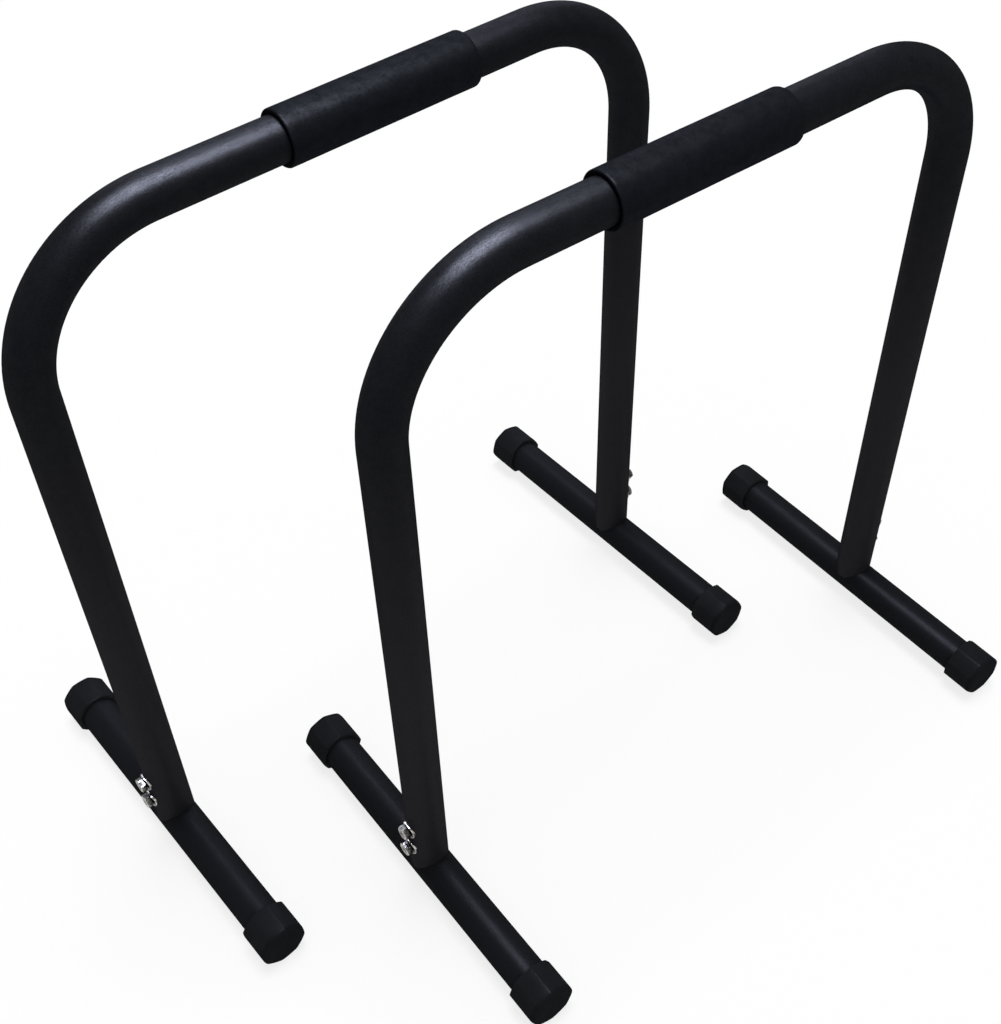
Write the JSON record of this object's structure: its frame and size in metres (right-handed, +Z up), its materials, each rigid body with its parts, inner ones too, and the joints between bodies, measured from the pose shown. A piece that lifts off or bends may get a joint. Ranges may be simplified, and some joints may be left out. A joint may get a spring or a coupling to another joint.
{
  "type": "dip station",
  "caption": "Pair of free-standing dip bars: bent steel tubes bolted to cross feet with octagonal rubber caps, and a foam sleeve round the grip.",
  "frame": {"origin": "on the floor, under the middle of the pair's bounding box", "axes": "+Z up; +X from the left bar to the right bar; +Y along the bars from front to rear"},
  "size_m": [0.6298, 0.8188, 0.7285],
  "materials": {
    "powder_coat": "black powder coat, satin, with a fine texture",
    "grip_foam": "matt charcoal foam",
    "cap_rubber": "black moulded rubber, low sheen",
    "zinc": "bright zinc plate",
    "plain_steel": "plain steel"
  },
  "bodies": {
    "left_bar": {"left_upper_frame": "powder_coat", "left_grip_sleeve": "grip_foam", "left_front_foot_tube": "powder_coat", "left_front_spigot": "powder_coat", "left_front_outer_cap": "cap_rubber", "left_front_inner_cap": "cap_rubber", "left_front_lower_bolt": "zinc", "left_front_lower_washer": "zinc", "left_front_lower_weld_nut": "plain_steel", "left_front_upper_bolt": "zinc", "left_front_upper_washer": "zinc", "left_front_upper_weld_nut": "plain_steel", "left_rear_foot_tube": "powder_coat", "left_rear_spigot": "powder_coat", "left_rear_outer_cap": "cap_rubber", "left_rear_inner_cap": "cap_rubber", "left_rear_lower_bolt": "zinc", "left_rear_lower_washer": "zinc", "left_rear_lower_weld_nut": "plain_steel", "left_rear_upper_bolt": "zinc", "left_rear_upper_washer": "zinc", "left_rear_upper_weld_nut": "plain_steel"},
    "right_bar": {"right_upper_frame": "powder_coat", "right_grip_sleeve": "grip_foam", "right_front_foot_tube": "powder_coat", "right_front_spigot": "powder_coat", "right_front_outer_cap": "cap_rubber", "right_front_inner_cap": "cap_rubber", "right_front_lower_bolt": "zinc", "right_front_lower_washer": "zinc", "right_front_lower_weld_nut": "plain_steel", "right_front_upper_bolt": "zinc", "right_front_upper_washer": "zinc", "right_front_upper_weld_nut": "plain_steel", "right_rear_foot_tube": "powder_coat", "right_rear_spigot": "powder_coat", "right_rear_outer_cap": "cap_rubber", "right_rear_inner_cap": "cap_rubber", "right_rear_lower_bolt": "zinc", "right_rear_lower_washer": "zinc", "right_rear_lower_weld_nut": "plain_steel", "right_rear_upper_bolt": "zinc", "right_rear_upper_washer": "zinc", "right_rear_upper_weld_nut": "plain_steel"}
  },
  "joints": [
    {"name": "bar_spacing_slide", "type": "slide", "parent": "left_bar", "child": "right_bar", "axis": [0.9024, -0.431, 0], "range_m": [0, 0.37125]}
  ]
}
